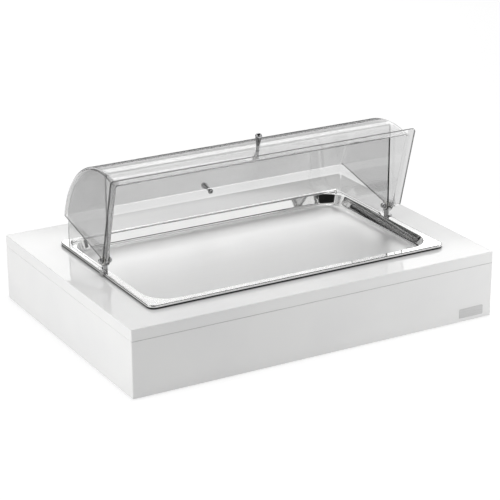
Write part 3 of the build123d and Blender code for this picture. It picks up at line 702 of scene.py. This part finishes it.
colour_by(tree, shader, hem_painted_shade, steel_tone, HEM_PAINTED_SHADE)
satin = spread(tree, brush["Tone"], NOISE_SPAN, SATIN_ROUGH)
bright = spread(tree, marks["Smear"], FULL, POLISHED_ROUGH)
dull_by(tree, shader, polished, FULL, (satin, bright))
line_height = add_maths(tree, "MULTIPLY", brush["Line"], add_maths(tree, "SUBTRACT", 1.0, polished))
raise_by(tree, shader, line_height, SATIN_RELIEF)
dress(tray_steel, "gn_tray")

# Brackets: two strips of stainless sheet that hook over the tray's end rims and carry the cover's pivots.
# They are cut and folded from brushed sheet, with the brush running up the strip.
BRACKET_LIGHT = (0.62, 0.62, 0.62)
BRACKET_DARK = (0.50, 0.50, 0.50)
BRACKET_ROUGH = (0.16, 0.28)

bracket_steel = brushed_finish(
    "brushed_bracket", BRACKET_LIGHT, BRACKET_DARK, BRACKET_ROUGH, squeeze=(1.0, 1.0, 0.02), size=1600.0
)
dress(bracket_steel, "left_bracket", "right_bracket")

# Pivots: a zinc-plated bolt through each bracket, with bushes and washers of turned natural nylon on it.
# The nylon keeps the shells from rubbing on metal. It is off-white and waxy, with fine turning lines.
NYLON_PALE = (0.74, 0.73, 0.69)
NYLON_WARM = (0.66, 0.64, 0.58)
NYLON_ROUGH = (0.3, 0.44)
NYLON_RELIEF = 0.00003

turned_nylon, tree, shader, place = finish_named("turned_nylon", IOR=1.53)
marks = use_group(tree, handling_marks, place, Smear_Size=160.0, Streak_Size=700.0)
turning = use_group(tree, brush_lines, place, Squeeze=(1.0, 0.05, 0.05), Size=2600.0)
colour_by(tree, shader, marks["Smear"], NYLON_PALE, NYLON_WARM)
dull_by(tree, shader, marks["Smear"], FULL, NYLON_ROUGH)
raise_by(tree, shader, turning["Line"], NYLON_RELIEF)
dress(turned_nylon, "pivot_bushes", "inner_washers", "middle_washers", "outer_washers")
dress(zinc_plate, "pivot_bolts")

# Dome nuts and knobs: turned brass under bright chrome, screwed on the pivot bolts and to the two shells.
# The chrome is a mirror with a few rubbed spots.
CHROME_BRIGHT = (0.47, 0.47, 0.475)
CHROME_RUBBED = (0.41, 0.41, 0.41)
CHROME_ROUGH = (0.03, 0.08)

bright_chrome, tree, shader, place = finish_named("bright_chrome", Metallic=1.0)
marks = use_group(tree, handling_marks, place, Smear_Size=90.0, Streak_Size=300.0)
colour_by(tree, shader, marks["Smear"], CHROME_BRIGHT, CHROME_RUBBED)
dull_by(tree, shader, marks["Smear"], FULL, CHROME_ROUGH)
dress(bright_chrome, "inner_dome_nuts", "outer_dome_nuts", "front_knob", "rear_knob")

# Knob screws: one pan-head machine screw through each shell from inside, with a washer under its head.
# They are plated like the knobs, have a cross cut in the head and a fine thread into the knob's stem.
PIVOT = np.array((0.0, -0.016, 0.137))
REAR_KNOB_TURN = math.radians(11.5)
FRONT_KNOB_TURN = math.radians(97.9)
REAR_HEAD = 0.136
FRONT_HEAD = 0.140
HEAD_HIGH = 0.0026
HEAD_ROUND = 0.0013
HEAD_HALF = 0.00375
EDGE_ROWS = 6
SHANK_HALF = 0.0016
KNOB_FACE = (12, HEAD_HALF - HEAD_ROUND, 0.0)
KNOB_SIDE = (2, HEAD_HALF, HEAD_HIGH)
KNOB_SEAT = (2, SHANK_HALF, HEAD_HIGH)
KNOB_SHANK = (84, SHANK_HALF, 0.0137)
KNOB_CHAMFER = (1, 0.0013, 0.014)
KNOB_TIP = (1, 0.0, 0.014)
KNOB_THREAD = (0.0007, 0.00038, 0.0027, 0.0139)
KNOB_CROSS = (0.0021, 0.0005, 0.0014)

rounded_edge = [
    (1, HEAD_HALF - HEAD_ROUND * (1.0 - math.sin(t)), HEAD_ROUND * (1.0 - math.cos(t)))
    for t in np.linspace(0.0, math.pi / 2.0, EDGE_ROWS + 1)[1:]
]
knob_screw = outline_through(
    KNOB_FACE, *rounded_edge, KNOB_SIDE, KNOB_SEAT, KNOB_SHANK, KNOB_CHAMFER, KNOB_TIP
)
points = screw_surface(knob_screw, KNOB_THREAD, KNOB_CROSS)
for name, turned, reach, body in (
    ("rear_knob_screw", REAR_KNOB_TURN, REAR_HEAD, "cover"),
    ("front_knob_screw", FRONT_KNOB_TURN, FRONT_HEAD, "front_shell"),
):
    outwards = np.array((0.0, math.cos(turned), math.sin(turned)))
    axes = [(1.0, 0.0, 0.0), (0.0, outwards[2], -outwards[1]), outwards]
    stands = [(PIVOT + reach * outwards, axes)]
    screw_set(name + "_set", points, stands, bright_chrome, body, name)
dress(bright_chrome, "front_knob_washer", "rear_knob_washer")

# Cover shells: two quarter-round shells moulded in clear polycarbonate, the front one outside the rear one.
# The plastic is faintly smoky, with painted shade in the front shell's ends and painted light at the rear
# shell's foot.
# Its cut edges and the lip's bend carry dark lines of painted shade, and the lip's face a painted highlight.
# It has soft moulding waves and light wiping marks.
COVER_CLEAR = (0.77, 0.77, 0.77)
COVER_SMEAR = (0.74, 0.74, 0.74)
# The pale colour is a painted highlight, the end and edge colours painted shade, the foot colour painted
# light.
COVER_PAINTED_HIGHLIGHT = (0.95, 0.95, 0.95)
COVER_END_PAINTED_SHADE = (0.70, 0.70, 0.70)
COVER_FOOT_PAINTED_LIGHT = (0.93, 0.93, 0.93)
COVER_EDGE_PAINTED_SHADE = (0.16, 0.16, 0.16)
COVER_SHADOW = (0.97, 0.97, 0.97, 1.0)
COVER_INDEX = 1.58
COVER_STREAKED = (0.0, 0.04)
COVER_WAVES = 0.0001
FOOT_HEIGHTS = (0.145, 0.158)
OPEN_TURN = math.radians(75.0)
STOP_TURN = math.radians(12.7)
END_WALL = 0.26275
END_WALL_BAND = (0.004, 0.6)
SHELL_STEP = 0.0055
LIP_SIDE = 0.274
LIP_FRONT = 0.156
LIP_MIDDLE = (0.1515, -0.0165)
LIP_FOOT = (0.1430, -0.0165)
LIP_HIGHLIGHT_BANDS = ((0.0065, 0.9), (0.005, 0.8))
LIP_EDGE_STRENGTH = 0.2
LIP_EDGE_BAND = (0.0012, 0.6)
BEND_BANDS = ((0.0018, 0.6), (0.004, 0.6))
BEND_END_MARGIN = 0.010
BEND_END_CORE = 0.985
CUT_BAND = (0.0024, 0.6)
END_SHADE_INSET = 0.006
END_SHADE_BAND = (0.0085, 0.9)
REAR_CUT = -0.024
REAR_CUT_STRENGTH = 0.8
REAR_CUT_BAND = (0.0018, 0.6)


def near_planes(tree, place, lines):
    """The strongest of several lines; each is a strength and the planes that it lies near.

    A plane is given by a normal, a point on it, a width and the share of that width without fading."""
    strongest = 0.0
    for strength, planes in lines:
        line = strength
        for across, point, width, core in planes:
            offset = float(np.dot(across, point))
            band = use_group(tree, plane_band, place, Across=across, Offset=offset, Width=width, Core=core)
            line = add_maths(tree, "MULTIPLY", band["Band"], line)
        strongest = add_maths(tree, "MAXIMUM", line, strongest)
    return strongest


def cover_finish(name, edges, highlight_lines=(), shade_lines=(), painted_light_foot=False):
    """Clear polycarbonate with painted shade along its edges, and a painted highlight and painted shade along
    two lists.

    A clear foot is painted light: its tint fades to a paler one from the upper to the lower of the foot's
    heights. Lamps shine through it with hardly a shadow."""
    made, tree, shader, place = finish_named(name, IOR=COVER_INDEX, Transmission_Weight=1.0)
    marks = use_group(tree, handling_marks, place, Smear_Size=8.0, Streak_Size=40.0)
    waves = use_group(tree, fine_relief, place, Size=14.0, Ripple=0.1)
    clear = blend_colours(tree, marks["Smear"], COVER_CLEAR, COVER_SMEAR)
    # Paler along the first list of lines: a painted highlight.
    if highlight_lines:
        clear = blend_colours(tree, near_planes(tree, place, highlight_lines), clear, COVER_PAINTED_HIGHLIGHT)
    # Darker along the second list of lines: painted shade.
    if shade_lines:
        clear = blend_colours(tree, near_planes(tree, place, shade_lines), clear, COVER_END_PAINTED_SHADE)
    # Paler towards the foot: painted light.
    if painted_light_foot:
        above_foot = spread(tree, axes_of(tree, place)["Z"], FOOT_HEIGHTS)
        clear = blend_colours(tree, above_foot, COVER_FOOT_PAINTED_LIGHT, clear)
    # Dark along the edge lines: painted shade.
    colour_by(tree, shader, near_planes(tree, place, edges), clear, COVER_EDGE_PAINTED_SHADE)
    dull_by(tree, shader, marks["Streak"], FULL, COVER_STREAKED)
    raise_by(tree, shader, waves["Height"], COVER_WAVES)
    lamp_pass = add_node(tree, "ShaderNodeBsdfTransparent", Color=COVER_SHADOW)
    shadow_ray = tree.nodes.new("ShaderNodeLightPath").outputs["Is Shadow Ray"]
    choice = mix_shaders(tree, shadow_ray, shader.outputs["BSDF"], lamp_pass.outputs[0])
    output = next(n for n in tree.nodes if n.type == "OUTPUT_MATERIAL")
    tree.links.new(choice, output.inputs["Surface"])
    return made


sideways = (1.0, 0.0, 0.0)
rearwards = (0.0, 1.0, 0.0)
out_of_lip = (0.0, -math.cos(OPEN_TURN), math.sin(OPEN_TURN))
over_lip = (0.0, math.sin(OPEN_TURN), math.cos(OPEN_TURN))
over_trail = (0.0, -math.sin(STOP_TURN), math.cos(STOP_TURN))


def lip_point(outwards, over):
    """A point of the open front shell: from the pivot out towards the lip, and square to that."""
    return PIVOT + outwards * np.array(out_of_lip) + over * np.array(over_lip)


def end_plane(x, band):
    """An upright plane across the cover at a place along it, with the band's width and core."""
    return (sideways, (x, 0.0, 0.0), *band)


lip_middle = lip_point(*LIP_MIDDLE)
lip_foot = lip_point(*LIP_FOOT)
lip_edge = lip_point(LIP_FRONT, 0.0)
between_ends = end_plane(0.0, (LIP_SIDE - BEND_END_MARGIN, BEND_END_CORE))
lip_face = [(out_of_lip, lip_middle, *LIP_HIGHLIGHT_BANDS[0]), (over_lip, lip_middle, *LIP_HIGHLIGHT_BANDS[1])]
bend = [(out_of_lip, lip_foot, *BEND_BANDS[0]), (over_lip, lip_foot, *BEND_BANDS[1]), between_ends]
# The lip's face gets a painted highlight, the front shell's ends and flange painted shade.
front_highlight_lines = [(1.0, lip_face)]
front_shade_lines = []
# Dark lines of painted shade at the lip's tip, in its bend, in the cut edges and in the rear shell's front
# cut.
front_edges = [(LIP_EDGE_STRENGTH, [(out_of_lip, lip_edge, *LIP_EDGE_BAND)]), (1.0, bend)]
rear_edges = []
for side in (-1.0, 1.0):
    front_end = end_plane(side * END_WALL, END_WALL_BAND)
    rear_end = end_plane(side * (END_WALL - SHELL_STEP), END_WALL_BAND)
    front_edges.append((1.0, [end_plane(side * LIP_SIDE, CUT_BAND)]))
    front_edges.append((1.0, [(over_trail, PIVOT, *CUT_BAND), front_end]))
    front_shade_lines.append((1.0, [end_plane(side * (LIP_SIDE - END_SHADE_INSET), END_SHADE_BAND)]))
    rear_edges.append((REAR_CUT_STRENGTH, [(rearwards, (0.0, REAR_CUT, 0.0), *REAR_CUT_BAND), rear_end]))
dress(cover_finish("front_polycarbonate", front_edges, front_highlight_lines, front_shade_lines), "front_shell")
dress(cover_finish("rear_polycarbonate", rear_edges, painted_light_foot=True), "rear_shell")
